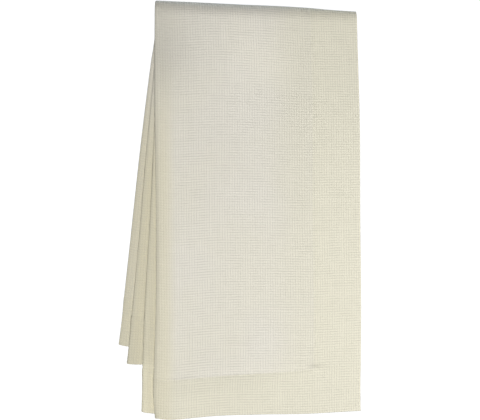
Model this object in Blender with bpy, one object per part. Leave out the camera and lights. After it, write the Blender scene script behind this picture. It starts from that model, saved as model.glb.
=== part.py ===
"""A square linen tablecloth, folded lengthwise into four layers and hung over a thin bar.

The cloth is one sheet, and its hem is part of it. It is folded back and forth like a fan: layer 1 is
the outer face, with its hemmed edge at the right and fold A at the left. Layer 2 runs back to fold B at
the right, layer 3 to fold C at the left, and layer 4 ends in the opposite hemmed edge, short of the
right side. The strip of four layers then passes over the bar, layer 4 on the inside, and its two halves
hang as a front and a back. The back half slants to the left, and fold C crosses fold A near the top.

Axes: X along the bar, -Y to the front, +Z up. The origin is on the bar's axis, at mid-width; the bar
itself is not part of the cloth. Sizes are in millimetres until the mesh is written in metres.
"""

import math

import bmesh
import bpy
from mathutils import Vector

METRES = 0.001

# Driving dimensions of the flat cloth
SIDE = 893.0
HEM = 53.0
HEM_STEP = 2.0
CLOTH_THICKNESS = 1.0
HEM_THICKNESS = 1.6

# The folded strip. LAYER_4_RADIUS clears a bar of 7 mm diameter.
PANEL = 243.5
FOLD_B_INSET = 4.0
LAYER_4_RADIUS = 4.4

# Where the folds and the front edge stand across the bar, by how far they have dropped below it
FRONT_LINES = (
    # drop, fold_a, fold_b, fold_c, edge_1
    (0.0, -120.4, 118.4, -113.5, 123.0),
    (100.0, -120.8, 119.6, -118.7, 124.6),
    (230.0, -119.3, 120.1, -125.0, 124.9),
    (340.0, -119.6, 120.8, -131.5, 125.8),
    (415.0, -121.9, 120.3, -134.3, 125.2),
    (445.0, -122.8, 120.0, -134.9, 124.8),
    (475.0, -120.0, 120.0, -135.4, 125.1),
)
BACK_LINES = (
    # drop, fold_a, fold_c
    (0.0, -116.9, -113.4),
    (20.0, -117.3, -115.2),
    (40.0, -119.6, -116.9),
    (60.0, -122.8, -118.8),
    (160.0, -135.1, -128.4),
    (280.0, -148.1, -138.6),
    (420.0, -163.6, -151.8),
)

# How far down each line of the cloth ends, in front and behind
END_DROPS = {
    "front": {"edge_1": 470.7, "fold_a": 471.4, "fold_b": 469.0, "fold_c": 467.2, "edge_4": 467.0},
    "back": {"edge_1": 390.0, "fold_a": 391.1, "fold_b": 405.9, "fold_c": 411.8, "edge_4": 411.3},
}
LAYER_ENDS = {
    1: ("edge_1", "fold_a"),
    2: ("fold_a", "fold_b"),
    3: ("fold_b", "fold_c"),
    4: ("fold_c", "edge_4"),
}
EDGE_1_TUCK = 2.0  # how far the free edge is drawn in where it crosses the bar, behind
EDGE_1_TUCK_DEPTH = 80.0
FRONT_HEM_WAVE = (
    # across, extra drop of layer 1
    (-121.0, 0.0),
    (-101.0, 1.6),
    (-48.0, -0.85),
    (10.0, -0.2),
    (38.0, 0.6),
    (62.0, 1.0),
    (95.0, 0.4),
    (126.0, 0.0),
)

# At the ends a fold's corner is drawn up a little
CORNER_LIFT = {"front": {"fold_c": 3.0}, "back": {"fold_a": 2.6, "fold_c": 1.6}}
CORNER_WIDTH = 9.0

# Distance of each layer's middle from the bar's axis. Past the edge of layer 4 the others sink inwards.
CREST = (
    # across, layer 1, layer 2, layer 3
    (-122.0, 12.2, 9.6, 7.0),
    (-70.0, 11.8, 9.3, 6.9),
    (-20.0, 11.2, 9.0, 6.9),
    (30.0, 11.0, 8.9, 6.8),
    (63.0, 10.2, 8.4, 6.6),
    (92.0, 8.9, 7.2, 5.4),
    (122.0, 7.9, 6.3, 4.4),
)
# How far below the bar's axis the bend of each layer ends: the outer layers leave it more gently
CREST_DEPTH = {1: 8.0, 2: 6.4, 3: 3.2, 4: 0.0}
# The distance from the bar's plane where the halves hang free, a little further apart
HANGING = {
    "front": ((170.0, 15.2, 11.3, 8.1, 4.9), (480.0, 16.4, 12.4, 8.8, 5.1)),
    "back": ((170.0, 14.0, 11.1, 7.9, 4.8), (430.0, 15.4, 12.2, 8.5, 5.0)),
}

# Each fold is a soft turn. Towards the free ends it opens, pushing its two layers apart.
FOLDS = {
    # outer layer, inner layer, side, reach at the bar, reach when hanging, swell out, swell in
    "fold_a": (1, 2, -1, 1.9, 4.8, 0.3, 0.3),
    "fold_b": (2, 3, 1, 0.8, 3.5, 0.5, 0.5),
    "fold_c": (3, 4, -1, 1.9, 4.0, 0.4, 0.4),
}
SWELL_WIDTH = 17.0
TURN_STEPS = 6

# In front the layers lie back towards fold A, in a narrow pressed band along it. Near the bar layer 1
# also bulges at mid-width, so it slopes back to fold A from there.
FOLD_A_FALL = (
    # distance from fold A, height of layer 1 near the bar, high up and low down, of layer 2, of layer 3
    (0.0, -2.7, -3.4, -2.5, -1.9, -0.6),
    (9.0, -0.5, -2.05, -1.15, -0.55, -0.6),
    (14.0, 0.7, -1.45, -0.5, -0.1, -0.55),
    (20.0, 1.9, -1.08, -0.15, 0.0, -0.45),
    (40.0, 4.2, -0.5, 0.0, 0.0, -0.2),
    (60.0, 5.2, -0.15, 0.0, 0.0, 0.0),
    (83.0, 5.35, 0.0, 0.0, 0.0, 0.0),
    (110.0, 3.5, 0.0, 0.0, 0.0, 0.0),
    (160.0, 0.9, 0.0, 0.0, 0.0, 0.0),
    (205.0, 0.2, 0.0, 0.0, 0.0, 0.0),
    (246.0, 0.0, 0.0, 0.0, 0.0, 0.0),
)
FOLD_A_LEAN = 0.15
FALL_AT_BAR = {1: 0.7, 2: 0.7, 3: 0.0, 4: 0.0}  # how much of it shows already in the bend over the bar
FALL_DROPS = {"full": 60.0, "near": 50.0, "high": 150.0, "low": 300.0}

# Relief of the front of layer 1: it dips at mid-width and rises to the side hem
FRONT_RELIEF = (
    # across, height
    (-122.0, 0.0),
    (-84.0, 0.05),
    (-60.0, 0.25),
    (-25.0, 0.45),
    (20.0, -0.55),
    (44.0, 0.0),
    (62.0, 0.75),
    (84.0, 0.55),
    (124.0, -0.3),
)
RELIEF_BY_DROP = (
    # drop, share of that relief
    (0.0, 0.0),
    (40.0, 0.55),
    (120.0, 1.0),
    (210.0, 0.85),
    (320.0, 0.4),
    (420.0, 0.2),
    (475.0, 0.1),
)

# Mesh density
LAYER_STEPS = 9
BESIDE_FOLD_A = (0.035, 0.07)  # extra columns there, as shares of a layer
FRONT_STEPS = 12
BACK_STEPS = 10
ARC_STEPS = 12
HEM_ROWS = 2

LINEN_COLOUR = (0.80, 0.77, 0.67, 1.0)
LINEN_ROUGHNESS = 0.9


def smoothstep(t):
    t = min(1.0, max(0.0, t))
    return t * t * (3.0 - 2.0 * t)


def read_table(table, at):
    """The row of a table at a place between its own rows, on a smooth curve through them."""
    last = len(table) - 1
    if at <= table[0][0]:
        return table[0][1:]
    if at >= table[last][0]:
        return table[last][1:]
    i = max(k for k in range(last) if table[k][0] <= at)
    before, low, high, after = (table[min(max(k, 0), last)] for k in (i - 1, i, i + 1, i + 2))
    span = high[0] - low[0]
    t = (at - low[0]) / span
    values = []
    for column in range(1, len(low)):
        slope_low = (high[column] - before[column]) / (high[0] - before[0]) * span
        slope_high = (after[column] - low[column]) / (after[0] - low[0]) * span
        rise = high[column] - low[column]
        values.append(
            low[column]
            + slope_low * t
            + (3.0 * rise - 2.0 * slope_low - slope_high) * t**2
            + (slope_low + slope_high - 2.0 * rise) * t**3
        )
    return values


def fold_lines(half, drop):
    """Where the folds and free edges stand across the bar, on one half of the strip."""
    if half == "front":
        fold_a, fold_b, fold_c, edge_1 = read_table(FRONT_LINES, drop)
    else:
        fold_a, fold_c = read_table(BACK_LINES, drop)
        edge_1 = fold_a + PANEL - EDGE_1_TUCK * (1.0 - smoothstep(drop / EDGE_1_TUCK_DEPTH))
        fold_b = fold_a + PANEL - FOLD_B_INSET
    used = (edge_1 - fold_a) + (fold_b - fold_a) + (fold_b - fold_c)
    edge_4 = fold_c + SIDE - used
    return {"edge_1": edge_1, "fold_a": fold_a, "fold_b": fold_b, "fold_c": fold_c, "edge_4": edge_4}


def crest_lines(share, depth):
    """The same lines over the bar, from the front end of a layer's bend (share 0) to its back end."""
    front = fold_lines("front", depth)
    back = fold_lines("back", depth)
    mix = smoothstep(share)
    return {name: front[name] + (back[name] - front[name]) * mix for name in front}


def front_relief(layer, across, drop):
    """Height of the outer layer's own soft waves above its plane."""
    if layer != 1:
        return 0.0
    return read_table(FRONT_RELIEF, across)[0] * read_table(RELIEF_BY_DROP, drop)[0]


def fall_share(layer, drop):
    at_bar = FALL_AT_BAR[layer]
    return at_bar + (1.0 - at_bar) * smoothstep(drop / FALL_DROPS["full"])


def fall_to_fold_a(layer, from_fold, drop):
    """Height of a front layer above its plane, for the way it lies back towards fold A."""
    near, high, low, *inner = read_table(FOLD_A_FALL, from_fold)
    to_high = smoothstep((drop - FALL_DROPS["near"]) / (FALL_DROPS["high"] - FALL_DROPS["near"]))
    to_low = smoothstep((drop - FALL_DROPS["high"]) / (FALL_DROPS["low"] - FALL_DROPS["high"]))
    outer = near + (high - near) * to_high + (low - high) * to_low
    heights = {1: outer, 2: inner[0], 3: inner[1], 4: 0.0}
    return heights[layer] * fall_share(layer, drop)


def swell(layer, across, lines, ease):
    """How far a soft fold pushes a layer away from its middle place."""
    push = 0.0
    for fold, (outer, inner, _side, _tight, _loose, out, inward) in FOLDS.items():
        if layer not in (outer, inner):
            continue
        near = math.exp(-(((across - lines[fold]) / SWELL_WIDTH) ** 2))
        push += near * ease * (out if layer == outer else -inward)
    return push


def layer_radius(half, layer, across, drop, lines):
    """Distance of a layer's middle from the plane of the bar's axis."""
    at_crest = LAYER_4_RADIUS if layer == 4 else read_table(CREST, across)[layer - 1]
    if drop <= 0.0:
        return at_crest
    hanging = read_table(HANGING[half], drop)[layer - 1]
    ease = smoothstep(drop / HANGING[half][0][0])
    spread = at_crest + (hanging - at_crest) * ease + swell(layer, across, lines, ease)
    if half == "front":
        spread += fall_to_fold_a(layer, across - lines["fold_a"], drop)
        spread += front_relief(layer, across, drop)
    return spread


def columns():
    """The columns of the mesh across the cloth, from the free edge of layer 1 to that of layer 4.

    A flat column is (layer, side it starts from, distance or share). A turn column is (fold, angle).
    """
    hem_places = [0.0, HEM - HEM_STEP / 2, HEM + HEM_STEP / 2]
    shares = [k / LAYER_STEPS for k in range(LAYER_STEPS + 1)]
    from_fold_a = sorted((*shares, *BESIDE_FOLD_A))
    to_fold_a = [1.0 - share for share in reversed(from_fold_a)]
    turns = [math.pi * k / TURN_STEPS for k in range(1, TURN_STEPS)]
    path = [("hem", 1, place) for place in hem_places]
    path += [("flat", 1, share) for share in to_fold_a[1:]]
    path += [("turn", "fold_a", angle) for angle in turns]
    path += [("flat", 2, share) for share in from_fold_a]
    path += [("turn", "fold_b", angle) for angle in turns]
    path += [("flat", 3, share) for share in shares]
    path += [("turn", "fold_c", angle) for angle in turns]
    path += [("flat", 4, share) for share in shares[:-1]]
    path += [("hem", 4, place) for place in reversed(hem_places)]
    return path


def fold_reach(fold, ease):
    tight, loose = FOLDS[fold][3:5]
    return tight + (loose - tight) * ease


def flat_ends(layer, lines, ease):
    """Where the flat part of a layer starts and ends across the bar, in the cloth's own order."""
    left_a = lines["fold_a"] + fold_reach("fold_a", ease)
    right_b = lines["fold_b"] - fold_reach("fold_b", ease)
    left_c = lines["fold_c"] + fold_reach("fold_c", ease)
    return {
        1: (lines["edge_1"] - HEM - HEM_STEP / 2, left_a),
        2: (left_a, right_b),
        3: (right_b, left_c),
        4: (left_c, lines["edge_4"] - HEM - HEM_STEP / 2),
    }[layer]


def place(column, half, drop, lines):
    """Across and radius of one column's point, on the bar (drop 0) or below it."""
    kind, which, value = column
    ease = smoothstep(drop / HANGING[half][0][0])
    if kind == "turn":
        outer, inner, side = FOLDS[which][:3]
        reach = fold_reach(which, ease)
        start = lines[which] - side * reach
        far = layer_radius(half, outer, start, drop, lines)
        near = layer_radius(half, inner, start, drop, lines)
        across = start + side * reach * math.sin(value)
        radius = (far + near) / 2 + (far - near) / 2 * math.cos(value)
        if (half, which) == ("front", "fold_a") and drop > 0.0:
            radius -= FOLD_A_LEAN * reach * math.sin(value) * fall_share(outer, drop)
        return across, radius
    if kind == "hem":
        across = lines["edge_1" if which == 1 else "edge_4"] - value
    else:
        start, end = flat_ends(which, lines, ease)
        across = start + (end - start) * value
    return across, layer_radius(half, which, across, drop, lines)


def crest_depth(column):
    kind, which, value = column
    if kind != "turn":
        return CREST_DEPTH[which]
    outer, inner = (CREST_DEPTH[layer] for layer in FOLDS[which][:2])
    return (outer + inner) / 2 + (outer - inner) / 2 * math.cos(value)


def end_drop(half, column):
    """How far one column hangs down at its end."""
    drops = END_DROPS[half]
    kind, which, _value = column
    level = drops["fold_a"]
    lines = fold_lines(half, level)
    across = place(column, half, level, lines)[0]
    if kind == "turn":
        level = drops[which]
    else:
        start, end = LAYER_ENDS[which]
        share = (across - lines[start]) / (lines[end] - lines[start])
        level = drops[start] + (drops[end] - drops[start]) * share
    if (half, which) == ("front", 1):
        level += read_table(FRONT_HEM_WAVE, across)[0]
    for fold, height in CORNER_LIFT[half].items():
        if which in (fold, *FOLDS[fold][:2]):
            level -= height * math.exp(-abs(across - lines[fold]) / CORNER_WIDTH)
    return level


def straight_drops(total, depth, steps):
    """Drops from a free end up to the bend: the end, the two sides of the hem's step, then even steps."""
    above_hem = total - HEM - HEM_STEP / 2 - depth
    rest = [depth + above_hem * (1.0 - k / steps) for k in range(steps)]
    return [total, total - HEM + HEM_STEP / 2] + rest


def column_points(column):
    """One column's points from the front end, over the bar, to the back end."""
    points = []
    depth = crest_depth(column)
    for drop in straight_drops(end_drop("front", column), depth, FRONT_STEPS):
        across, radius = place(column, "front", drop, fold_lines("front", drop))
        points.append(Vector((across, -radius, -drop)))
    for k in range(ARC_STEPS + 1):
        share = k / ARC_STEPS
        lines = crest_lines(share, depth)
        across, radius = place(column, "front", 0.0, lines)
        front_across, front_radius = place(column, "front", depth, lines)
        front_part = 1.0 - smoothstep(share)
        across += (front_across - across) * front_part
        spread = radius + (front_radius - radius) * front_part
        angle = math.pi * share
        height = (radius + depth) * math.sin(angle) - depth
        points.append(Vector((across, -spread * math.cos(angle), height)))
    for drop in reversed(straight_drops(end_drop("back", column), depth, BACK_STEPS)):
        across, radius = place(column, "back", drop, fold_lines("back", drop))
        points.append(Vector((across, radius, -drop)))
    return points


def in_hem(column, row, row_count):
    """Whether a point lies in a hem: on its edge line or on the near side of its step."""
    kind, _which, value = column
    beside_side = kind == "hem" and value < HEM
    return beside_side or row < HEM_ROWS or row >= row_count - HEM_ROWS


def surface_normal(grid, c, r):
    """The outward normal of the sheet's middle, away from the bar on layer 1."""
    across = grid[min(c + 1, len(grid) - 1)][r] - grid[max(c - 1, 0)][r]
    along = grid[c][min(r + 1, len(grid[c]) - 1)] - grid[c][max(r - 1, 0)]
    return across.cross(along).normalized()


def make_cloth():
    """The folded sheet as one closed solid: two faces, half a thickness each side of its middle."""
    column_list = columns()
    grid = [column_points(column) for column in column_list]
    row_count = len(grid[0])
    mesh = bmesh.new()
    faces = {}
    for side in (1, -1):
        for c in range(len(grid)):
            for r in range(row_count):
                hem = in_hem(column_list[c], r, row_count)
                half_thickness = (HEM_THICKNESS if hem else CLOTH_THICKNESS) / 2
                point = grid[c][r] + surface_normal(grid, c, r) * side * half_thickness
                faces[side, c, r] = mesh.verts.new(point * METRES)

    last_c, last_r = len(grid) - 1, row_count - 1
    for c in range(last_c):
        for r in range(last_r):
            corners = ((c, r), (c + 1, r), (c + 1, r + 1), (c, r + 1))
            mesh.faces.new([faces[1, a, b] for a, b in corners])
            mesh.faces.new([faces[-1, a, b] for a, b in reversed(corners)])
    rim = [(c, 0) for c in range(last_c)]
    rim += [(last_c, r) for r in range(last_r)]
    rim += [(c, last_r) for c in range(last_c, 0, -1)]
    rim += [(0, r) for r in range(last_r, 0, -1)]
    for here, there in zip(rim, rim[1:] + rim[:1]):
        mesh.faces.new([faces[1, *there], faces[1, *here], faces[-1, *here], faces[-1, *there]])
    bmesh.ops.triangulate(mesh, faces=mesh.faces[:])
    return mesh


def linen():
    material = bpy.data.materials.new("ivory_linen")
    material.use_nodes = True
    shader = material.node_tree.nodes["Principled BSDF"]
    shader.inputs["Base Color"].default_value = LINEN_COLOUR
    shader.inputs["Roughness"].default_value = LINEN_ROUGHNESS
    shader.inputs["Metallic"].default_value = 0.0
    material.diffuse_color = LINEN_COLOUR
    return material


def build():
    for old in list(bpy.data.objects):
        bpy.data.objects.remove(old)
    cloth = make_cloth()
    data = bpy.data.meshes.new("tablecloth")
    cloth.to_mesh(data)
    cloth.free()
    data.materials.append(linen())
    data.shade_smooth()
    data.set_sharp_from_angle(angle=math.radians(50.0))
    bpy.context.scene.collection.objects.link(bpy.data.objects.new("tablecloth", data))


build()
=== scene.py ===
"""The looks of a square linen tablecloth, folded lengthwise into four layers and hung over a thin bar.

The cloth is one thin sheet that follows the folds of its CAD solid, with the same tables in millimetres,
on a finer mesh. It adds what the solid leaves out: the rounded edge, the uneven double-turned hem with
its stitched seam and mitred corners, and the small tucks of the front. Two coordinate maps go with the
mesh: "weave" runs in metres along the cloth itself, so the threads follow every fold, and "hem" gives
the distance from the nearest edges in hem widths, so the finish knows where the hem, seam and mitre are.

Axes: X along the bar, -Y to the front, +Z up, with the origin on the bar's axis at mid-width. Layer 1 is
the outer face. Its free edge is at the right, and fold A, B and C join it to layers 2, 3 and 4.
"""

import math

import bmesh
import bpy
import numpy as np
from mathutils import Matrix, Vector


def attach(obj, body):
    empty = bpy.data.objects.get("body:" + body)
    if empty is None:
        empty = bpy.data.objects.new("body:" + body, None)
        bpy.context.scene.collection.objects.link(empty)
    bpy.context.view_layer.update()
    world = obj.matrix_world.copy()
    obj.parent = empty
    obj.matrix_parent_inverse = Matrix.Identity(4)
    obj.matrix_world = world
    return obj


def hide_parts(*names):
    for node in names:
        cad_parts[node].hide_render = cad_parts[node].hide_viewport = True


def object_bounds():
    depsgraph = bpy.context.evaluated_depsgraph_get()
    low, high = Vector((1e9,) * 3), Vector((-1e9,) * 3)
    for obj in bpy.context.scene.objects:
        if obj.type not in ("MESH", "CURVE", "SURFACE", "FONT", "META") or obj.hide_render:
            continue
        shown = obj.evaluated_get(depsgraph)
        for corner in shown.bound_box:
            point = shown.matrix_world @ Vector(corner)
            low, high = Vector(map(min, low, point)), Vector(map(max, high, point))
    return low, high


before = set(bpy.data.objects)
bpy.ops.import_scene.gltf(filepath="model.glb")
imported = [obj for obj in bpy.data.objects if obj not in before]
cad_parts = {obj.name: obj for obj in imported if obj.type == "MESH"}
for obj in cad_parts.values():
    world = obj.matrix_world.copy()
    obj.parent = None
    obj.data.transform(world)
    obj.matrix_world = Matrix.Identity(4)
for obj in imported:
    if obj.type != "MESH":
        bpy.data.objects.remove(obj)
CAD_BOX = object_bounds()

METRES = 0.001

# ---------------------------------------------------------------- the flat cloth and its folds, in mm

SIDE = 893.0
PANEL = 243.5
FOLD_B_INSET = 4.0
LAYER_4_RADIUS = 4.4

# Where the folds and the front edge stand across the bar, by how far they have dropped below it
FRONT_LINES = (
    # drop, fold_a, fold_b, fold_c, edge_1
    (0.0, -120.4, 118.4, -113.5, 123.0),
    (100.0, -120.8, 119.6, -118.7, 124.6),
    (230.0, -119.3, 120.1, -125.0, 124.9),
    (340.0, -119.6, 120.8, -131.5, 125.8),
    (415.0, -121.9, 120.3, -134.3, 125.2),
    (445.0, -122.8, 120.0, -134.9, 124.8),
    (475.0, -120.0, 120.0, -135.4, 125.1),
)
BACK_LINES = (
    # drop, fold_a, fold_c
    (0.0, -116.9, -113.4),
    (20.0, -117.3, -115.2),
    (40.0, -119.6, -116.9),
    (60.0, -122.8, -118.8),
    (160.0, -135.1, -128.4),
    (280.0, -148.1, -138.6),
    (420.0, -163.6, -151.8),
)
EDGE_1_TUCK = 2.0  # how far the free edge is drawn in where it crosses the bar, behind
EDGE_1_TUCK_DEPTH = 80.0
FRONT_HEM_WAVE = (
    # across, extra drop of layer 1
    (-121.0, 0.0),
    (-101.0, 1.6),
    (-48.0, -0.85),
    (10.0, -0.2),
    (38.0, 0.6),
    (62.0, 1.0),
    (95.0, 0.4),
    (126.0, 0.0),
)
END_DROPS = {
    # how far down each line of the cloth ends, in front and behind
    "front": {"edge_1": 470.7, "fold_a": 471.4, "fold_b": 469.0, "fold_c": 467.2, "edge_4": 467.0},
    "back": {"edge_1": 390.0, "fold_a": 391.1, "fold_b": 405.9, "fold_c": 411.8, "edge_4": 411.3},
}
# At the ends a fold's corner is drawn up a little
CORNER_LIFT = {"front": {"fold_c": 3.0}, "back": {"fold_a": 2.6, "fold_c": 1.6}}
CORNER_WIDTH = 9.0
CREST = (
    # across, layer 1, layer 2, layer 3: distance of each layer's middle from the bar's axis
    (-122.0, 12.2, 9.6, 7.0),
    (-70.0, 11.8, 9.3, 6.9),
    (-20.0, 11.2, 9.0, 6.9),
    (30.0, 11.0, 8.9, 6.8),
    (63.0, 10.2, 8.4, 6.6),
    (92.0, 8.9, 7.2, 5.4),
    (122.0, 7.9, 6.3, 4.4),
)
# How far below the bar's axis the bend of each layer ends: the outer layers leave it more gently
CREST_DEPTH = {1: 8.0, 2: 6.4, 3: 3.2, 4: 0.0}
HANGING = {
    # drop, layer 1, layer 2, layer 3, layer 4: the same distance in the hanging halves
    "front": ((170.0, 15.2, 11.3, 8.1, 4.9), (480.0, 16.4, 12.4, 8.8, 5.1)),
    "back": ((170.0, 14.0, 11.1, 7.9, 4.8), (430.0, 15.4, 12.2, 8.5, 5.0)),
}
FOLDS = {
    # outer layer, inner layer, side, reach at the bar, reach when hanging, swell out, swell in
    "fold_a": (1, 2, -1, 1.9, 4.8, 0.3, 0.3),
    "fold_b": (2, 3, 1, 0.8, 3.5, 0.5, 0.5),
    "fold_c": (3, 4, -1, 1.9, 4.0, 0.4, 0.4),
}
SWELL_WIDTH = 17.0
# In front the layers lie back towards fold A, in a narrow pressed band along it. Near the bar layer 1
# also bulges at mid-width, so it slopes back to fold A from there.
FOLD_A_FALL = (
    # distance from fold A, height of layer 1 near the bar, high up and low down, of layer 2, of layer 3
    (0.0, -2.7, -3.4, -2.5, -1.9, -0.6),
    (9.0, -0.5, -2.05, -1.15, -0.55, -0.6),
    (14.0, 0.7, -1.45, -0.5, -0.1, -0.55),
    (20.0, 1.9, -1.08, -0.15, 0.0, -0.45),
    (40.0, 4.2, -0.5, 0.0, 0.0, -0.2),
    (60.0, 5.2, -0.15, 0.0, 0.0, 0.0),
    (83.0, 5.35, 0.0, 0.0, 0.0, 0.0),
    (110.0, 3.5, 0.0, 0.0, 0.0, 0.0),
    (160.0, 0.9, 0.0, 0.0, 0.0, 0.0),
    (205.0, 0.2, 0.0, 0.0, 0.0, 0.0),
    (246.0, 0.0, 0.0, 0.0, 0.0, 0.0),
)
FOLD_A_LEAN = 0.15  # the slope of that pressed band
FALL_AT_BAR = {1: 0.7, 2: 0.7, 3: 0.0, 4: 0.0}  # how much of it shows already in the bend over the bar
FALL_DROPS = {"full": 60.0, "near": 50.0, "high": 150.0, "low": 300.0}
LAYER_ENDS = {
    1: ("edge_1", "fold_a"),
    2: ("fold_a", "fold_b"),
    3: ("fold_b", "fold_c"),
    4: ("fold_c", "edge_4"),
}

# ---------------------------------------------------------------- the fine sheet, in mm

CLOTH_THICKNESS = 0.7
HEM_THICKNESS = 1.25
TURNED_IN = 9.0  # the raw edge inside the hem, a third layer beside the seam
TURNED_IN_THICKNESS = 1.5
# How much of the hem's extra thickness shows on the outer face, beside a side edge and beside an end
RIGHT_SIDE_SHARE = {"side": 0.05, "end": 0.95}
EDGE_ROUND = 0.75
EDGE_BLUNTNESS = 0.06
HEM_STEP = 1.1  # how far the hem's folded edge takes to come down to the single cloth
STITCH_INSET = 1.9  # the seam's distance inside that folded edge
SEAM_GROOVE = {"depth": 0.08, "half_width": 0.9}
PRESSED_HEM = {"share": 0.75, "half_width": 16.0}  # how much thinner the hem is pressed at the folds
MITRE = {"ridge_width": 6.0, "ridge": 0.22, "groove_width": 0.9, "groove": 0.22}
HEM_HOLLOW = {"side": 0.12, "end": 0.42}  # how far the hem sinks between its seam and its edge
SEAM_RISE = {"height": 0.06, "half_width": 9.0}

# The hem's width is uneven, as sewn by hand: width by place along the edge
MEAN_HEM = 54.0
HEM_WIDTHS = {
    # beside the free edge of layer 1 and of layer 4, by distance from the front end
    "edge_1": ((0.0, 56.5), (55.0, 58.2), (250.0, 59.0), (465.0, 58.3), (893.0, 57.0)),
    "edge_4": ((0.0, 55.0), (300.0, 54.0), (893.0, 56.0)),
    # at the front end and at the back end, by distance from the free edge of layer 1
    "front": (
        (0.0, 54.5),
        (54.0, 53.0),
        (80.0, 50.5),
        (103.0, 49.0),
        (132.0, 47.8),
        (161.0, 46.4),
        (189.0, 45.5),
        (215.0, 45.5),
        (893.0, 50.0),
    ),
    "back": ((0.0, 54.0), (120.0, 52.5), (240.0, 54.5), (893.0, 53.0)),
}

# Relief of the front of layer 1: it dips at mid-width and rises to the side hem
FRONT_RELIEF = (
    # across, height
    (-122.0, 0.0),
    (-84.0, 0.05),
    (-60.0, 0.25),
    (-25.0, 0.45),
    (20.0, -0.55),
    (44.0, 0.0),
    (62.0, 0.75),
    (84.0, 0.55),
    (124.0, -0.3),
)
RELIEF_BY_DROP = (
    # drop, share of that relief
    (0.0, 0.0),
    (40.0, 0.55),
    (120.0, 1.0),
    (210.0, 0.85),
    (320.0, 0.4),
    (420.0, 0.2),
    (475.0, 0.1),
)
# Long shallow waves in the other panels: amplitude, wave length across, wave length down, phase
SOFT_WAVES = {
    ("back", 1): (0.7, 190.0, 640.0, 0.6),
    ("front", 2): (0.25, 130.0, 500.0, 1.7),
    ("back", 2): (0.30, 150.0, 420.0, 2.9),
    ("front", 3): (0.25, 110.0, 460.0, 4.1),
    ("back", 3): (0.25, 140.0, 380.0, 5.2),
    ("front", 4): (0.15, 120.0, 520.0, 0.2),
    ("back", 4): (0.15, 120.0, 400.0, 3.3),
}
# Small tucks near the hems' inner corners, and wide soft bulges of the front, placed on the flat cloth
DIMPLES = (
    # from edge 1, from the front end, half length across, half length along, height
    (56.0, 57.0, 12.0, 2.2, 0.9),
    (60.0, 51.5, 14.0, 2.4, -0.45),
    (145.0, 66.0, 45.0, 28.0, 1.3),
    (170.0, 426.0, 30.0, 28.0, -1.0),
    (108.0, 426.0, 40.0, 28.0, 0.5),
    (839.0, 54.0, 6.0, 3.0, 0.35),
    (52.0, 839.0, 7.0, 2.5, 0.45),
    (841.0, 840.0, 5.0, 2.5, 0.30),
)

# Mesh density
ROUND_LINES = (0.0, 0.12, 0.45, 1.0)  # shares of the rounded edge's width
TURNED_IN_LINES = (-0.5, 0.7)  # on both sides of the turned-in edge
MITRE_SOFTNESS = 4.0  # of the change from a side hem to an end hem, as steps over one hem width
HEM_STEPS = 12
LAYER_STEPS = 30
TURN_STEPS = 9
FRONT_STEPS = 64
BACK_STEPS = 58
ARC_STEPS = 22

# Stitches of the seams and mitres
STITCH_LENGTH = 2.1
STITCH_PITCH = 2.9
MITRE_STITCH_PITCH = 4.6
STITCH_RADIUS = 0.17
STITCH_SUNK = 0.6  # how deep a stitch's ends lie in the cloth, in its radii
BACK_STITCH_SHIFT = 0.25  # of the stitches on the inner face, in pitches
STITCH_SIDES = 6
STITCH_RINGS = 5

# ---------------------------------------------------------------- the studio, in metres

CAMERA_PLACE = (-0.2608, -1.2466, -0.2312)
CAMERA_TURN = math.radians(-11.0)
CAMERA_LENS = 80.6
CAMERA_SENSOR = 36.0
FLOOR_BELOW = 1.2
STUDIO_RADIUS = 4.0
STUDIO_CURVE = 1.6
STUDIO_HEIGHT = 5.0
STUDIO_CURVE_STEPS = 12
STUDIO_SIDES = 64


def smoothstep(t):
    t = min(1.0, max(0.0, t))
    return t * t * (3.0 - 2.0 * t)


def read_table(table, at):
    """The row of a table at a place between its own rows, on a smooth curve through them."""
    last = len(table) - 1
    if at <= table[0][0]:
        return table[0][1:]
    if at >= table[last][0]:
        return table[last][1:]
    i = max(k for k in range(last) if table[k][0] <= at)
    before, low, high, after = (table[min(max(k, 0), last)] for k in (i - 1, i, i + 1, i + 2))
    span = high[0] - low[0]
    t = (at - low[0]) / span
    values = []
    for column in range(1, len(low)):
        slope_low = (high[column] - before[column]) / (high[0] - before[0]) * span
        slope_high = (after[column] - low[column]) / (after[0] - low[0]) * span
        rise = high[column] - low[column]
        values.append(
            low[column]
            + slope_low * t
            + (3.0 * rise - 2.0 * slope_low - slope_high) * t**2
            + (slope_low + slope_high - 2.0 * rise) * t**3
        )
    return values


# ---------------------------------------------------------------- where the cloth lies


def fold_lines(half, drop):
    """Where the folds and free edges stand across the bar, on one half of the strip."""
    if half == "front":
        fold_a, fold_b, fold_c, edge_1 = read_table(FRONT_LINES, drop)
    else:
        fold_a, fold_c = read_table(BACK_LINES, drop)
        edge_1 = fold_a + PANEL - EDGE_1_TUCK * (1.0 - smoothstep(drop / EDGE_1_TUCK_DEPTH))
        fold_b = fold_a + PANEL - FOLD_B_INSET
    used = (edge_1 - fold_a) + (fold_b - fold_a) + (fold_b - fold_c)
    edge_4 = fold_c + SIDE - used
    return {"edge_1": edge_1, "fold_a": fold_a, "fold_b": fold_b, "fold_c": fold_c, "edge_4": edge_4}


def crest_lines(share, depth):
    """The same lines over the bar, from the front end of a layer's bend (share 0) to its back end."""
    front = fold_lines("front", depth)
    back = fold_lines("back", depth)
    mix = smoothstep(share)
    return {name: front[name] + (back[name] - front[name]) * mix for name in front}


def relief(half, layer, across, drop, ease):
    """Height of a panel's own soft waves above its plane."""
    if (half, layer) == ("front", 1):
        return read_table(FRONT_RELIEF, across)[0] * read_table(RELIEF_BY_DROP, drop)[0]
    height, wide, long, phase = SOFT_WAVES[half, layer]
    bend = math.sin(2.0 * math.pi * across / wide + phase)
    return height * ease * bend * math.sin(2.0 * math.pi * drop / long + 2.0 * phase)


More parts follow.
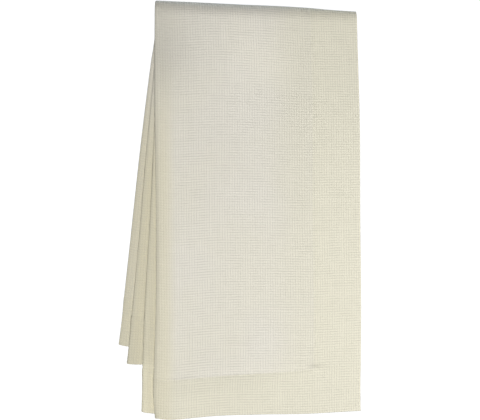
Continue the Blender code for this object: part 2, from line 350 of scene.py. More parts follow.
def swell(layer, across, lines, ease):
    """How far a soft fold pushes a layer away from its middle place."""
    push = 0.0
    for fold, (outer, inner, *_reach, out, inward) in FOLDS.items():
        if layer not in (outer, inner):
            continue
        near = math.exp(-(((across - lines[fold]) / SWELL_WIDTH) ** 2))
        push += near * ease * (out if layer == outer else -inward)
    return push


def fall_share(layer, drop):
    at_bar = FALL_AT_BAR[layer]
    return at_bar + (1.0 - at_bar) * smoothstep(drop / FALL_DROPS["full"])


def fall_to_fold_a(layer, from_fold, drop):
    """Height of a front layer above its plane, for the way it lies back towards fold A."""
    near, high, low, *inner = read_table(FOLD_A_FALL, from_fold)
    to_high = smoothstep((drop - FALL_DROPS["near"]) / (FALL_DROPS["high"] - FALL_DROPS["near"]))
    to_low = smoothstep((drop - FALL_DROPS["high"]) / (FALL_DROPS["low"] - FALL_DROPS["high"]))
    outer = near + (high - near) * to_high + (low - high) * to_low
    heights = {1: outer, 2: inner[0], 3: inner[1], 4: 0.0}
    return heights[layer] * fall_share(layer, drop)


def layer_radius(half, layer, across, drop, lines):
    """Distance of a layer's middle from the plane of the bar's axis."""
    at_crest = LAYER_4_RADIUS if layer == 4 else read_table(CREST, across)[layer - 1]
    if drop <= 0.0:
        return at_crest
    hanging = read_table(HANGING[half], drop)[layer - 1]
    ease = smoothstep(drop / HANGING[half][0][0])
    spread = at_crest + (hanging - at_crest) * ease
    if half == "front":
        spread += fall_to_fold_a(layer, across - lines["fold_a"], drop)
    return spread + swell(layer, across, lines, ease) + relief(half, layer, across, drop, ease)


def fold_reach(fold, ease):
    tight, loose = FOLDS[fold][3:5]
    return tight + (loose - tight) * ease


def hem_shares():
    """The mesh lines of a hem, as shares of its width: rounded edge, turned-in edge, seam and step."""
    edge = [EDGE_ROUND * share / MEAN_HEM for share in ROUND_LINES]
    turned = 1.0 - TURNED_IN / MEAN_HEM
    middle = [edge[-1] + (turned - edge[-1]) * k / HEM_STEPS for k in range(1, HEM_STEPS)]
    seam = 1.0 - STITCH_INSET / MEAN_HEM
    groove = SEAM_GROOVE["half_width"] / MEAN_HEM
    beside = [turned + off / MEAN_HEM for off in TURNED_IN_LINES] + [(turned + seam) / 2.0]
    return edge + middle + beside + [seam - groove, seam, seam + groove, 1.0, 1.0 + HEM_STEP / MEAN_HEM]


SHARES = hem_shares()
SEAM_LINE = len(SHARES) - 4  # the seam's place in that list


def columns():
    """The columns of the mesh across the cloth, from the free edge of layer 1 to that of layer 4."""
    steps = [k / LAYER_STEPS for k in range(LAYER_STEPS + 1)]
    turns = [math.pi * k / TURN_STEPS for k in range(1, TURN_STEPS)]
    path = [("hem", 1, share) for share in SHARES]
    path += [("flat", 1, share) for share in steps[1:]]
    path += [("turn", "fold_a", angle) for angle in turns]
    path += [("flat", 2, share) for share in steps]
    path += [("turn", "fold_b", angle) for angle in turns]
    path += [("flat", 3, share) for share in steps]
    path += [("turn", "fold_c", angle) for angle in turns]
    path += [("flat", 4, share) for share in steps[:-1]]
    path += [("hem", 4, share) for share in reversed(SHARES)]
    return path


def hem_width(edge, along):
    return read_table(HEM_WIDTHS[edge], along)[0]


def flat_ends(layer, lines, ease, along):
    """Where the flat part of a layer starts and ends across the bar, in the cloth's own order."""
    left_a = lines["fold_a"] + fold_reach("fold_a", ease)
    right_b = lines["fold_b"] - fold_reach("fold_b", ease)
    left_c = lines["fold_c"] + fold_reach("fold_c", ease)
    return {
        1: (lines["edge_1"] - SHARES[-1] * hem_width("edge_1", along), left_a),
        2: (left_a, right_b),
        3: (right_b, left_c),
        4: (left_c, lines["edge_4"] - SHARES[-1] * hem_width("edge_4", along)),
    }[layer]


def place(column, half, drop, lines, along):
    """Across and radius of one column's point, on the bar (drop 0) or below it."""
    kind, which, value = column
    ease = smoothstep(drop / HANGING[half][0][0])
    if kind == "turn":
        outer, inner, side = FOLDS[which][:3]
        reach = fold_reach(which, ease)
        start = lines[which] - side * reach
        far = layer_radius(half, outer, start, drop, lines)
        near = layer_radius(half, inner, start, drop, lines)
        across = start + side * reach * math.sin(value)
        radius = (far + near) / 2 + (far - near) / 2 * math.cos(value)
        if (half, which) == ("front", "fold_a") and drop > 0.0:
            radius -= FOLD_A_LEAN * reach * math.sin(value) * fall_share(outer, drop)
        return across, radius
    if kind == "hem":
        edge = "edge_1" if which == 1 else "edge_4"
        across = lines[edge] - value * hem_width(edge, along)
    else:
        start, end = flat_ends(which, lines, ease, along)
        across = start + (end - start) * value
    return across, layer_radius(half, which, across, drop, lines)


def crest_depth(column):
    kind, which, value = column
    if kind != "turn":
        return CREST_DEPTH[which]
    outer, inner = (CREST_DEPTH[layer] for layer in FOLDS[which][:2])
    return (outer + inner) / 2 + (outer - inner) / 2 * math.cos(value)


def end_drop(half, column):
    """How far one column hangs down at its end."""
    drops = END_DROPS[half]
    kind, which = column[:2]
    level = drops["fold_a"]
    lines = fold_lines(half, level)
    across = place(column, half, level, lines, 0.0 if half == "front" else SIDE)[0]
    if kind == "turn":
        level = drops[which]
    else:
        start, end = LAYER_ENDS[which]
        share = (across - lines[start]) / (lines[end] - lines[start])
        level = drops[start] + (drops[end] - drops[start]) * share
    if (half, which) == ("front", 1):
        level += read_table(FRONT_HEM_WAVE, across)[0]
    for fold, height in CORNER_LIFT[half].items():
        if which in (fold, *FOLDS[fold][:2]):
            level -= height * math.exp(-abs(across - lines[fold]) / CORNER_WIDTH)
    return level


def distance_from_edge_1(column):
    """Roughly how far along the cloth's width a column lies, from the free edge of layer 1."""
    kind, which, value = column
    if kind == "turn":
        return {"fold_a": 1.0, "fold_b": 2.0, "fold_c": 3.0}[which] * PANEL
    if kind == "hem":
        inset = value * hem_width("edge_1", 0.0)
        return inset if which == 1 else SIDE - inset
    return (which - 1 + value) * PANEL


def straight_drops(total, depth, width, steps):
    """Drops from a free end up to the bend: the lines of the hem, then even steps."""
    above_hem = total - SHARES[-1] * width - depth
    hem = [total - share * width for share in SHARES]
    return hem + [depth + above_hem * (1.0 - k / steps) for k in range(1, steps)]


def column_points(column):
    """One column's points from the front end, over the bar, to the back end."""
    points = []
    from_edge = distance_from_edge_1(column)
    depth = crest_depth(column)
    total = end_drop("front", column)
    for drop in straight_drops(total, depth, hem_width("front", from_edge), FRONT_STEPS):
        across, radius = place(column, "front", drop, fold_lines("front", drop), total - drop)
        points.append((across, -radius, -drop))
    for k in range(ARC_STEPS + 1):
        share = k / ARC_STEPS
        lines = crest_lines(share, depth)
        across, radius = place(column, "front", 0.0, lines, total)
        front_across, front_radius = place(column, "front", depth, lines, total)
        front_part = 1.0 - smoothstep(share)
        across += (front_across - across) * front_part
        spread = radius + (front_radius - radius) * front_part
        angle = math.pi * share
        height = (radius + depth) * math.sin(angle) - depth
        points.append((across, -spread * math.cos(angle), height))
    behind = end_drop("back", column)
    for drop in reversed(straight_drops(behind, depth, hem_width("back", from_edge), BACK_STEPS)):
        across, radius = place(column, "back", drop, fold_lines("back", drop), SIDE - behind + drop)
        points.append((across, radius, -drop))
    return points


# ---------------------------------------------------------------- the sheet as a grid


def path_lengths(grid, axis):
    """Length of the cloth from its first line of points to each other one, along one axis of the grid."""
    steps = np.linalg.norm(np.diff(grid, axis=axis), axis=2)
    lengths = np.cumsum(steps, axis=axis)
    zero = np.zeros_like(np.take(lengths, [0], axis=axis))
    return np.concatenate([zero, lengths], axis=axis)


def cloth_coordinates(grid, column_list):
    """Each point's place on the flat cloth, in mm from edge 1 and from the front end.

    Both free ends keep their true distances. The little that a soft turn adds is taken up in between.
    """
    across = path_lengths(grid, 0)
    first_turn = column_list.index(("flat", 2, 0.0))
    last_turn = column_list.index(("flat", 4, 0.0))
    end_u = SIDE - (across[-1] - across[last_turn])
    start_u = across[first_turn]
    middle = slice(first_turn, last_turn)
    share = (across[middle] - start_u) / (across[last_turn] - start_u)
    u = across.copy()
    u[middle] = start_u + (end_u - start_u) * share
    u[last_turn:] = SIDE - (across[-1] - across[last_turn:])

    along = path_lengths(grid, 1)
    crest = len(SHARES) + FRONT_STEPS - 1 + ARC_STEPS
    v = along.copy()
    behind = along[:, -1:] - along[:, crest : crest + 1]
    left = SIDE - along[:, crest : crest + 1]
    v[:, crest:] = SIDE - (along[:, -1:] - along[:, crest:]) * left / behind
    return u, v


def grid_normals(grid):
    """The outward normal of the sheet's middle, away from the bar on layer 1."""
    normals = np.cross(np.gradient(grid, axis=1), np.gradient(grid, axis=0))
    return normals / np.linalg.norm(normals, axis=2, keepdims=True)


def ramp(x):
    x = np.clip(x, 0.0, 1.0)
    return x * x * (3.0 - 2.0 * x)


def bell(x, half_width):
    return np.exp(-((x / half_width) ** 2))


class Cloth:
    """The grid of the sheet's middle, with each point's normal, cloth coordinates and half thicknesses."""

    def __init__(self):
        column_list = columns()
        self.middle = np.array([column_points(column) for column in column_list])
        self.u, self.v = cloth_coordinates(self.middle, column_list)
        self.find_hem()
        self.shape_hem()
        self.normals = grid_normals(self.middle)
        self.set_thickness()

    def find_hem(self):
        """The nearest side edge and the nearest end, and how wide the hem is there."""
        edge_1 = np.vectorize(lambda v: hem_width("edge_1", v))(self.v)
        edge_4 = np.vectorize(lambda v: hem_width("edge_4", v))(self.v)
        front = np.vectorize(lambda u: hem_width("front", u))(self.u)
        back = np.vectorize(lambda u: hem_width("back", u))(self.u)
        side_width = np.where(self.u < SIDE / 2, edge_1, edge_4)
        end_width = np.where(self.v < SIDE / 2, front, back)
        self.side_share = np.minimum(self.u, SIDE - self.u) / side_width
        self.end_share = np.minimum(self.v, SIDE - self.v) / end_width
        side_is_near = self.side_share < self.end_share
        self.width = np.where(side_is_near, side_width, end_width)
        self.edge_distance = np.minimum(self.side_share, self.end_share) * self.width

    def by_edge(self, values):
        """The value for a side edge or for an end, whichever is nearer, with a soft change at the mitre."""
        towards_end = ramp((self.side_share - self.end_share) * MITRE_SOFTNESS + 0.5)
        return values["side"] + (values["end"] - values["side"]) * towards_end

    def shape_hem(self):
        """Sinks the hem's middle, raises its seam, and sets the tucks of the corners."""
        normals = grid_normals(self.middle)
        share = np.clip(self.edge_distance / self.width, 0.0, 1.0)
        hollow = self.by_edge(HEM_HOLLOW) * 4.0 * share * (1.0 - share)
        from_seam = self.edge_distance - (self.width - STITCH_INSET)
        height = SEAM_RISE["height"] * bell(from_seam, SEAM_RISE["half_width"]) - hollow
        for across, along, half_across, half_along, rise in DIMPLES:
            height = height + rise * bell(self.u - across, half_across) * bell(self.v - along, half_along)
        self.middle = self.middle + normals * height[..., None]

    def set_thickness(self):
        """Half thicknesses of the outer and the inner face."""
        past_step = (self.edge_distance - self.width) / HEM_STEP
        in_hem = 1.0 - ramp(past_step)
        beside_seam = ramp((self.edge_distance - (self.width - TURNED_IN)) / HEM_STEP) * in_hem
        extra = (HEM_THICKNESS - CLOTH_THICKNESS) * in_hem
        extra += (TURNED_IN_THICKNESS - HEM_THICKNESS) * beside_seam
        from_mitre = np.abs(self.side_share - self.end_share) * self.width / math.sqrt(2.0)
        in_corner = (np.maximum(self.side_share, self.end_share) < 1.0).astype(float)
        extra += MITRE["ridge"] * in_corner * (1.0 - ramp(from_mitre / MITRE["ridge_width"]))
        for number in (1, 2, 3):
            extra *= 1.0 - PRESSED_HEM["share"] * bell(self.u - number * PANEL, PRESSED_HEM["half_width"])
        groove = SEAM_GROOVE["depth"] * bell(
            self.edge_distance - (self.width - STITCH_INSET), SEAM_GROOVE["half_width"]
        )
        groove += MITRE["groove"] * in_corner * bell(from_mitre, MITRE["groove_width"])
        edge = np.clip(self.edge_distance / EDGE_ROUND, 0.0, 1.0)
        rounding = np.sqrt(np.maximum(1.0 - (1.0 - edge) ** 2, EDGE_BLUNTNESS))
        base = CLOTH_THICKNESS / 2
        right_side = self.by_edge(RIGHT_SIDE_SHARE)
        self.outer = (base + right_side * extra - groove / 2) * rounding
        self.inner = (base + (1.0 - right_side) * extra - groove / 2) * rounding


def add_map(mesh, name, values):
    """A coordinate map from one pair of numbers for each vertex."""
    layer = mesh.uv_layers.new(name=name)
    index = np.empty(len(mesh.loops), dtype=np.int32)
    mesh.loops.foreach_get("vertex_index", index)
    layer.data.foreach_set("uv", values[index].astype(np.float32).ravel())


def make_sheet(cloth):
    """The cloth as one closed mesh: its outer face, its inner face and the rim between them."""
    wide, long = cloth.u.shape
    outer = cloth.middle + cloth.normals * cloth.outer[..., None]
    inner = cloth.middle - cloth.normals * cloth.inner[..., None]
    points = np.concatenate([outer.reshape(-1, 3), inner.reshape(-1, 3)]) * METRES
    number = np.arange(wide * long).reshape(wide, long)
    corners = (number[:-1, :-1], number[:-1, 1:], number[1:, 1:], number[1:, :-1])
    top = np.stack([c.ravel() for c in corners], axis=1)
    bottom = top[:, ::-1] + wide * long
    rim = np.concatenate([number[:-1, 0], number[-1, :-1], number[:0:-1, -1], number[0, :0:-1]])
    ahead = np.roll(rim, -1)
    edge = np.stack([rim, ahead, ahead + wide * long, rim + wide * long], axis=1)
    faces = np.concatenate([top, bottom, edge])

    mesh = bpy.data.meshes.new("tablecloth_sheet")
    mesh.from_pydata(points.tolist(), [], faces.tolist())
    mesh.update()
    flat = np.stack([cloth.u.ravel(), cloth.v.ravel()], axis=1) * METRES
    add_map(mesh, "weave", np.concatenate([flat, flat]))
    hem = np.stack([cloth.side_share.ravel(), cloth.end_share.ravel()], axis=1)
    add_map(mesh, "hem", np.concatenate([hem, hem]))
    mesh.shade_smooth()
    return mesh


# ---------------------------------------------------------------- the stitches


def add_stitch(shape, start, end, normal):
    """One stitch: a short rounded thread lying on the cloth from start to end."""
    along = end - start
    sideways = along.cross(normal).normalized()
    rings = []
    for k in range(STITCH_RINGS):
        share = (k + 0.5) / STITCH_RINGS
        bulge = math.sin(math.pi * share) ** 0.5
        centre = start + along * share + normal * (bulge - STITCH_SUNK) * STITCH_RADIUS
        ring = []
        for s in range(STITCH_SIDES):
            angle = 2.0 * math.pi * s / STITCH_SIDES
            round_it = sideways * math.cos(angle) + normal * math.sin(angle)
            ring.append(shape.verts.new((centre + round_it * STITCH_RADIUS * bulge) * METRES))
        rings.append(ring)
    for near, far in zip(rings, rings[1:]):
        for s in range(STITCH_SIDES):
            after = (s + 1) % STITCH_SIDES
            shape.faces.new((near[s], near[after], far[after], far[s]))
    shape.faces.new(rings[0][::-1])
    shape.faces.new(rings[-1])


def stitch_line(shape, cloth, route, pitch):
    """A row of stitches along a route of grid points, on both faces of the cloth."""
    c, r = (np.array(values) for values in zip(*route))
    for face, depth in ((1.0, cloth.outer), (-1.0, cloth.inner)):
        normals = cloth.normals[c, r] * face
        points = cloth.middle[c, r] + normals * depth[c, r][:, None]
        lengths = path_lengths(points[:, None, :], 0)[:, 0]
        count = int((lengths[-1] - STITCH_LENGTH) / pitch)
        first = (lengths[-1] - count * pitch) / 2.0
        for k in range(count):
            at = first + (k + (BACK_STITCH_SHIFT if face < 0 else 0.0)) * pitch
            ends = []
            for place_along in (at, at + STITCH_LENGTH):
                ends.append(Vector([np.interp(place_along, lengths, points[:, i]) for i in range(3)]))
            normal = Vector([np.interp(at, lengths, normals[:, i]) for i in range(3)]).normalized()
            add_stitch(shape, ends[0], ends[1], normal)


def make_stitches(cloth):
    """The seams of the four hems, and the hand stitches that close the four mitres."""
    wide, long = cloth.u.shape
    low_c, high_c = SEAM_LINE, wide - 1 - SEAM_LINE
    low_r, high_r = SEAM_LINE, long - 1 - SEAM_LINE
    shape = bmesh.new()
    for c in (low_c, high_c):
        stitch_line(shape, cloth, [(c, r) for r in range(low_r, high_r + 1)], STITCH_PITCH)
    for r in (low_r, high_r):
        stitch_line(shape, cloth, [(c, r) for c in range(low_c, high_c + 1)], STITCH_PITCH)
    for c_of in (lambda k: k, lambda k: wide - 1 - k):
        for r_of in (lambda k: k, lambda k: long - 1 - k):
            route = [(c_of(k), r_of(k)) for k in range(len(ROUND_LINES) - 1, SEAM_LINE + 1)]
            stitch_line(shape, cloth, route, MITRE_STITCH_PITCH)
    mesh = bpy.data.meshes.new("hem_stitches")
    shape.to_mesh(mesh)
    shape.free()
    mesh.shade_smooth()
    return mesh


# ---------------------------------------------------------------- the materials


class Nodes:
    """Short calls for a material's nodes. A value may be a number or another node's output."""

    def __init__(self, name):
        self.material = bpy.data.materials.new(name)
        self.material.use_nodes = True
        self.tree = self.material.node_tree
        self.shader = self.tree.nodes["Principled BSDF"]

    def put(self, socket, value):
        if isinstance(value, bpy.types.NodeSocket):
            self.tree.links.new(value, socket)
        else:
            socket.default_value = value

    def math(self, operation, *values):
        node = self.tree.nodes.new("ShaderNodeMath")
        node.operation = operation
        for socket, value in zip(node.inputs, values):
            self.put(socket, value)
        return node.outputs[0]

    def ramp(self, value, low, high, to_low=0.0, to_high=1.0):
        """A smooth step of value, from to_low at low to to_high at high."""
        node = self.tree.nodes.new("ShaderNodeMapRange")
        node.interpolation_type = "SMOOTHSTEP"
        for socket, given in zip(node.inputs, (value, low, high, to_low, to_high)):
            self.put(socket, given)
        return node.outputs[0]

    def fade(self, value, low, high):
        """1 up to low, falling to 0 at high."""
        return self.ramp(value, low, high, 1.0, 0.0)

    def apart(self, a, b):
        return self.math("ABSOLUTE", self.math("SUBTRACT", a, b))

    def product(self, first, *others):
        for value in others:
            first = self.math("MULTIPLY", first, value)
        return first

    def toned(self, tone, share, change):
        """A tone made lighter (or darker, below 0) by change where share is 1."""
        return self.math("MULTIPLY", tone, self.math("MULTIPLY_ADD", share, change, 1.0))

    def map(self, name):
        """The two numbers of a coordinate map."""
        source = self.tree.nodes.new("ShaderNodeUVMap")
        source.uv_map = name
        split = self.tree.nodes.new("ShaderNodeSeparateXYZ")
        self.put(split.inputs[0], source.outputs[0])
        return split.outputs[0], split.outputs[1]

    def point(self, x, y, z=0.0):
        node = self.tree.nodes.new("ShaderNodeCombineXYZ")
        for socket, value in zip(node.inputs, (x, y, z)):
            self.put(socket, value)
        return node.outputs[0]

    def noise(self, at, scale, detail=2.0, roughness=0.5):
        node = self.tree.nodes.new("ShaderNodeTexNoise")
        self.put(node.inputs["Vector"], at)
        node.inputs["Scale"].default_value = scale
        node.inputs["Detail"].default_value = detail
        node.inputs["Roughness"].default_value = roughness
        return node.outputs["Fac"]

    def mix(self, share, a, b):
        """A colour between a and b."""
        node = self.tree.nodes.new("ShaderNodeMix")
        node.data_type = "RGBA"
        self.put(node.inputs[0], share)
        self.put(node.inputs[6], a)
        self.put(node.inputs[7], b)
        return node.outputs[2]

    def shade(self, colour, factor):
        """A colour made darker or lighter by a factor."""
        node = self.tree.nodes.new("ShaderNodeVectorMath")
        node.operation = "SCALE"
        self.put(node.inputs[0], colour)
        self.put(node.inputs["Scale"], factor)
        return node.outputs[0]

    def bump(self, height, distance, under=None):
        node = self.tree.nodes.new("ShaderNodeBump")
        node.inputs["Distance"].default_value = distance
        self.put(node.inputs["Height"], height)
        if under is not None:
            self.put(node.inputs["Normal"], under)
        return node.outputs[0]


IVORY = (0.800, 0.768, 0.680, 1.0)
DEEP_IVORY = (0.800, 0.768, 0.662, 1.0)
HEM_IVORY = (0.800, 0.768, 0.630, 1.0)
# painted warm shade of the folded layers, for light bounced between them
FOLD_SHADE_IVORY = (0.800, 0.752, 0.575, 1.0)
THREAD = (0.82, 0.79, 0.69, 1.0)
PATCH_SCALE = 9.0  # of the patches of deeper ivory
MIDDLE_OF_NOISE = (0.35, 0.65)

# The weave, with distances in metres
WEAVE_PITCH = 0.00300  # one bundle of threads
THREADS_IN_BUNDLE = 3.0
THREAD_WANDER = {"distance": 0.0018, "scale": 22.0, "other_way": 0.7}
GAP_SHARPNESS = 1.5
BLOCK_ROUNDNESS = 0.45
THREAD_SHARE = 0.3  # how much of a bundle's height its single threads make
WARP_GAP_SHADE = 0.10
WEFT_GAP_SHADE = 0.135
WEFT_PATCHES = {"scale": 75.0, "share": (0.25, 1.75)}
MEAN_OF_GAP = 0.25  # this share of both shades is given back, so the gaps don't darken the whole cloth
SLUB = {"shade": 0.07, "across": 1.1, "along": 0.05, "other_way": 3.0}
# (other_way is how far off in the noise the crossing threads find their own pattern)
# Pressing has closed the threads up along the folds: how open they stay, and the band's inner and outer
# distances from a fold
PRESSED = {"openness": 0.3, "band": (0.012, 0.030)}

# The hem, with distances in hem widths, but in metres for from_edge
DOUBLED_TO = (0.99, 1.02)
SEAM_HALF_WIDTH = 0.03
# The seams' lines are painted shadow of the hem's step, darker at the ends than at the sides
SIDE_SEAM_SHADE = 0.012
END_SEAM_SHADE = 0.055
SEAM_CHANGES = (-0.05, 0.05)  # from the side seam's shade to the end seam's, across the mitre
MITRE_LINE = {"half_width": 0.035, "corner_to": (0.99, 1.01), "shade": -0.03}
# Painted highlight in a line just past the end hems' seam, away from the side hems
HEM_RIDGE_HIGHLIGHT = {"at": 1.09, "half_width": 0.10, "shade": 0.022, "past_side_hem": (0.95, 1.05)}
# Painted shade on a band of the end hems below their seam, away from edge 1
HEM_BAND_SHADE = {"shade": -0.034, "starts": (0.45, 0.75), "ends": (0.96, 1.0), "from_edge": (0.085, 0.150)}

# The end of fold C hangs free below the other layers, and a painted lighter tone there stands in for light
# coming through it. From here on, places and distances are metres on the flat cloth
FREE_END_LIGHT = {"half_width": (0.018, 0.032), "length": (0.045, 0.070), "shade": 0.12}
# Painted light and shade on the outer face: a painted shadow in the tuck at the inner corner of the front
# hem, a painted highlight just below it, painted light on the middle of the top, and painted shade on the
# left of the top
PAINTED_LIGHT_SPOTS = (
    # from edge 1, from the front end, half length across, half length along, change
    (0.056, 0.0563, 0.017, 0.0048, -0.14),
    (0.062, 0.0500, 0.020, 0.0040, 0.04),
    (0.133, 0.425, 0.080, 0.062, 0.075),
    (0.243, 0.432, 0.060, 0.080, -0.09),
)
# The folds carry a painted warm shade, a yellower ivory that stands in for light bounced between the
# layers, though not over the bar, and less beside the edge that hangs outside
FOLD_SHADE_WARMTH = (
    # from edge 1, inner and outer distance from the fold, strength
    (PANEL * METRES, 0.0070, 0.0238, 0.75),
    (3.0 * PANEL * METRES, 0.0120, 0.0408, 1.0),
)
CREST_ALONG = 0.483  # how far the bar lies from the front end, along the cloth
OFF_CREST = (0.04, 0.20)
EDGE_WARMTH = {"from": 0.070, "to": 0.118, "share": 0.6}

# Relief too fine for the mesh: the bumps' heights in metres, and the scales of their noise
PUCKERS = {"height": 0.0008, "scale": 95.0, "outside": (0.82, 1.0), "inside": (1.0, 1.2)}
WEAVE_RELIEF = 0.00030
FIBRES = {"height": 0.00004, "scale": 2600.0}
ROUGHNESS = {"gap": 0.92, "top": 0.82}
THREAD_FINISH = {"scale": 900.0, "height": 0.00008, "roughness": (0.55, 0.7)}


def in_spot(n, u, v, across, along, half_across, half_along):
    """1 at the middle of a soft oval spot of the flat cloth, and 0 outside it."""
    off_u = n.math("DIVIDE", n.math("SUBTRACT", u, across), half_across)
    off_v = n.math("DIVIDE", n.math("SUBTRACT", v, along), half_along)
    apart = n.math("SQRT", n.math("MULTIPLY_ADD", off_u, off_u, n.math("MULTIPLY", off_v, off_v)))
    return n.fade(apart, 0.0, 1.0)


def basket_weave(n, u, v, flat):
    """The weave's height, the shade of its gaps, and how thick or thin its threads are."""
    # Threads wander a little from their straight lines
    wander = THREAD_WANDER["distance"]
    uncrossed = n.noise(flat, THREAD_WANDER["scale"], 3.0)
    crossed = n.noise(n.point(v, u, THREAD_WANDER["other_way"]), THREAD_WANDER["scale"], 3.0)
    drift_u = n.math("MULTIPLY", n.math("SUBTRACT", uncrossed, 0.5), wander)
    drift_v = n.math("MULTIPLY", n.math("SUBTRACT", crossed, 0.5), wander)
    across = n.math("DIVIDE", n.math("ADD", u, drift_u), WEAVE_PITCH)
    along = n.math("DIVIDE", n.math("ADD", v, drift_v), WEAVE_PITCH)

    def wave(value, count):
        """A row of rounded ridges, count to a bundle, 0 in the gaps and 1 on top."""
        return n.math("ABSOLUTE", n.math("SINE", n.math("MULTIPLY", value, math.pi * count)))

    def gap(value):
        """1 in the middle of the gap between two bundles, falling quickly to 0."""
        return n.math("POWER", n.math("SUBTRACT", 1.0, wave(value, 1.0)), GAP_SHARPNESS)

    # Bundles pass over and under in turn; a gap shows round each block
    block = n.math("POWER", n.product(wave(across, 1.0), wave(along, 1.0)), BLOCK_ROUNDNESS)
    cells = n.math("ADD", n.math("FLOOR", across), n.math("FLOOR", along))
    warp_on_top = n.math("FLOORED_MODULO", cells, 2.0)
    threads_across = wave(across, THREADS_IN_BUNDLE)
    threads_along = wave(along, THREADS_IN_BUNDLE)
    swap = n.math("SUBTRACT", threads_across, threads_along)
    threads = n.math("MULTIPLY_ADD", swap, warp_on_top, threads_along)
    height = n.product(block, n.math("MULTIPLY_ADD", threads, THREAD_SHARE, 1.0 - THREAD_SHARE))

    # The weft lies more open than the warp, in uneven patches
    patches = n.noise(flat, WEFT_PATCHES["scale"], 3.0)
    weft_share = n.ramp(patches, *MIDDLE_OF_NOISE, *WEFT_PATCHES["share"])
    weft_gap = n.product(gap(along), weft_share, WEFT_GAP_SHADE)
    warp_gap = n.product(gap(across), n.math("SUBTRACT", 2.0, weft_share), WARP_GAP_SHADE)
    gaps = n.math("ADD", warp_gap, weft_gap)

    # Slubs: each thread's own thickness, long in its own direction
    def stretched(value, by):
        return n.math("MULTIPLY", value, SLUB[by])

    warp_at = n.point(stretched(across, "across"), stretched(along, "along"))
    weft_at = n.point(stretched(across, "along"), stretched(along, "across"), SLUB["other_way"])
    slub = n.math("SUBTRACT", n.math("ADD", n.noise(warp_at, 1.0), n.noise(weft_at, 1.0)), 1.0)
    return height, gaps, slub


def linen():
    """Ivory linen in a coarse basket weave with slubs, yellower doubled hems and painted warm shade along
    its folds.
    """
    n = Nodes("ivory_linen")
    u, v = n.map("weave")
    side, end = n.map("hem")
    flat = n.point(u, v)
    height, gaps, slub = basket_weave(n, u, v, flat)
    off_folds = [n.apart(u, number * PANEL * METRES) for number in (1.0, 2.0, 3.0)]
    openness = n.product(*[n.ramp(off, *PRESSED["band"], PRESSED["openness"], 1.0) for off in off_folds])

    # The hem: doubled cloth, its seam and its mitres
    nearest = n.math("MINIMUM", side, end)
    doubled = n.fade(nearest, *DOUBLED_TO)
    seam = n.fade(n.apart(nearest, 1.0 - STITCH_INSET / MEAN_HEM), 0.0, SEAM_HALF_WIDTH)
    in_corner = n.fade(n.math("MAXIMUM", side, end), *MITRE_LINE["corner_to"])
    mitre = n.product(n.fade(n.apart(side, end), 0.0, MITRE_LINE["half_width"]), in_corner)

    # Colour
    patches = n.ramp(n.noise(flat, PATCH_SCALE), *MIDDLE_OF_NOISE)
    colour = n.mix(patches, DEEP_IVORY, IVORY)
    near_edge = n.ramp(u, EDGE_WARMTH["from"], EDGE_WARMTH["to"], EDGE_WARMTH["share"], 0.0)
    colour = n.mix(n.math("MAXIMUM", doubled, near_edge), colour, HEM_IVORY)
    off_crest = n.ramp(n.apart(v, CREST_ALONG), *OFF_CREST)
    # Painted warm shade along folds A and C, for light bounced between the layers
    for fold_at, inner, outer, strength in FOLD_SHADE_WARMTH:
        near_shaded_fold = n.ramp(n.apart(u, fold_at), inner, outer, strength, 0.0)
        colour = n.mix(n.product(near_shaded_fold, off_crest), colour, FOLD_SHADE_IVORY)

    # Tone: how much lighter or darker than that colour
    mean_gap = MEAN_OF_GAP * (WEFT_GAP_SHADE + WARP_GAP_SHADE)
    tone = n.math("MULTIPLY_ADD", n.math("SUBTRACT", mean_gap, gaps), openness, 1.0)
    tone = n.toned(tone, slub, SLUB["shade"])
    # Painted highlight just past the end hems' seam
    ridge = n.fade(n.apart(end, HEM_RIDGE_HIGHLIGHT["at"]), 0.0, HEM_RIDGE_HIGHLIGHT["half_width"])
    tone = n.toned(tone, n.product(ridge, n.ramp(side, *HEM_RIDGE_HIGHLIGHT["past_side_hem"])), HEM_RIDGE_HIGHLIGHT["shade"])
    # Painted shade on a band of the end hem
    band = n.product(n.ramp(end, *HEM_BAND_SHADE["starts"]), n.fade(end, *HEM_BAND_SHADE["ends"]), openness)
    tone = n.toned(tone, n.product(band, n.ramp(u, *HEM_BAND_SHADE["from_edge"])), HEM_BAND_SHADE["shade"])
    # Painted shadow, highlight, light and shade in soft spots
    for *place_and_size, change in PAINTED_LIGHT_SPOTS:
        tone = n.toned(tone, in_spot(n, u, v, *place_and_size), change)
    # Painted light: lighter where light would come through the free end of fold C
    free = n.product(n.fade(off_folds[2], *FREE_END_LIGHT["half_width"]), n.fade(v, *FREE_END_LIGHT["length"]))
    tone = n.toned(tone, free, FREE_END_LIGHT["shade"])
    # Painted shadow along the seams
    past_mitre = n.math("SUBTRACT", side, end)
    seam_shadow = n.ramp(past_mitre, *SEAM_CHANGES, -SIDE_SEAM_SHADE, -END_SEAM_SHADE)
    tone = n.toned(tone, n.product(seam, openness), seam_shadow)
    tone = n.toned(tone, mitre, MITRE_LINE["shade"])
    n.put(n.shader.inputs["Base Color"], n.shade(colour, tone))
    smoother = ROUGHNESS["top"] - ROUGHNESS["gap"]
    n.put(n.shader.inputs["Roughness"], n.math("MULTIPLY_ADD", height, smoother, ROUGHNESS["gap"]))

    # Fine relief: puckers along the seam, threads and fibres
    uneven = n.math("SUBTRACT", n.noise(flat, PUCKERS["scale"], 1.0), 0.5)
    puckers = n.product(uneven, n.ramp(nearest, *PUCKERS["outside"]), n.fade(nearest, *PUCKERS["inside"]))
    relief = n.bump(puckers, PUCKERS["height"])
    relief = n.bump(height, WEAVE_RELIEF, relief)
    relief = n.bump(n.noise(flat, FIBRES["scale"]), FIBRES["height"], relief)
    n.put(n.shader.inputs["Normal"], relief)
    n.shader.inputs["Specular IOR Level"].default_value = 0.25
    n.shader.inputs["Sheen Weight"].default_value = 0.10
    n.shader.inputs["Sheen Roughness"].default_value = 0.45
    return n.material


